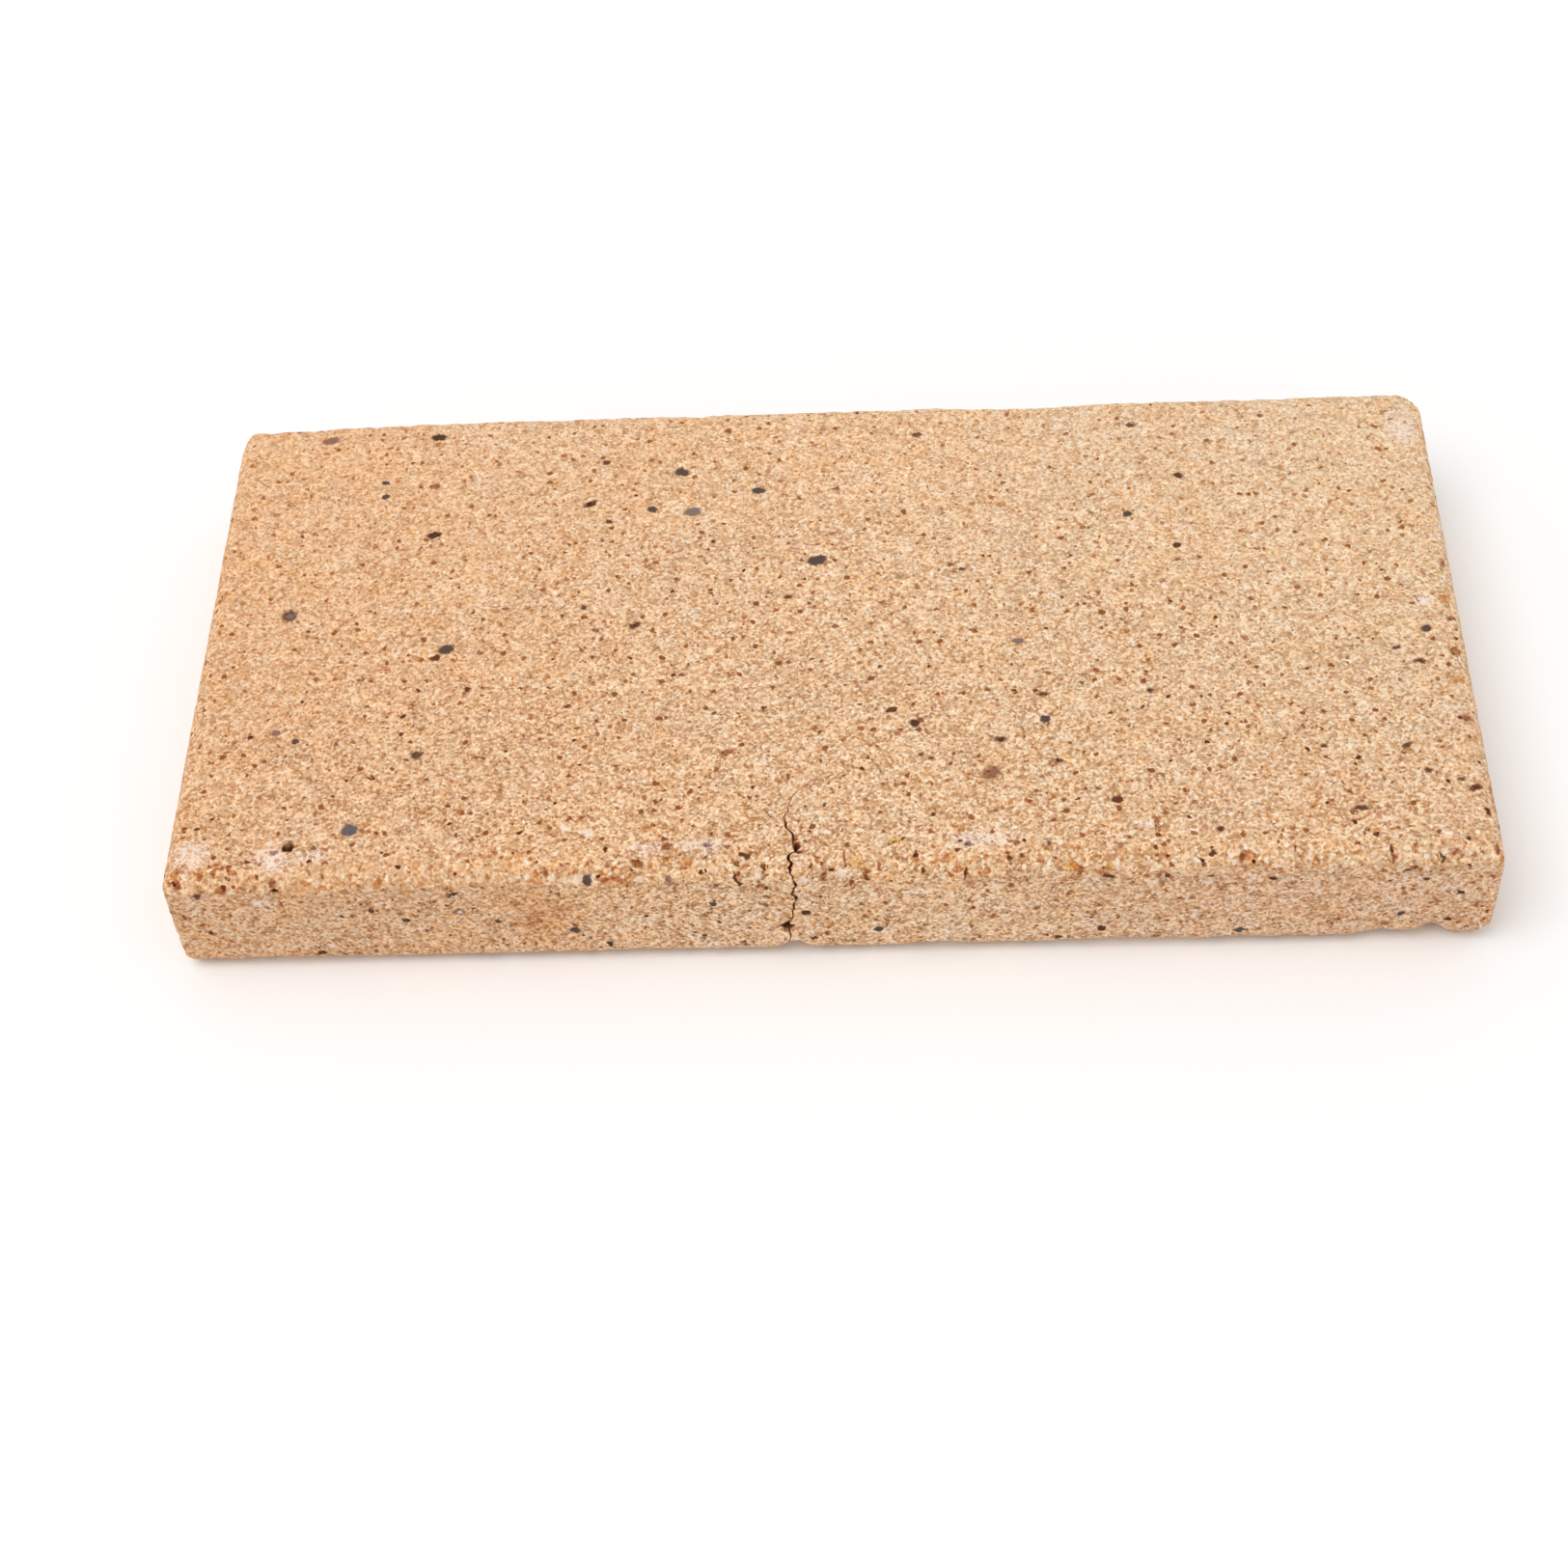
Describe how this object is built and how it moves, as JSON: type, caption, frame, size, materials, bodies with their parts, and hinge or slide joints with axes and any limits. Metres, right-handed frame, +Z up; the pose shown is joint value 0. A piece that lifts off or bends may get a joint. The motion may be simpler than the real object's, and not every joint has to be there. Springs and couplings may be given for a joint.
{
  "type": "refractory firebrick",
  "caption": "Flat rectangular fired-clay refractory brick with rounded arrises, speckled grog body and a cracked front edge, for lining a stove, hearth or oven.",
  "frame": {"origin": "centre of the underside, on the surface it lies on", "axes": "+X along the length, +Y from the cracked front face to the back, +Z up out of the top face"},
  "size_m": [0.23, 0.115, 0.025],
  "materials": {
    "fireclay": "matte, rough, speckled with cream, orange-brown and dark grains"
  },
  "bodies": {
    "root": {"firebrick": "fireclay"}
  },
  "joints": []
}
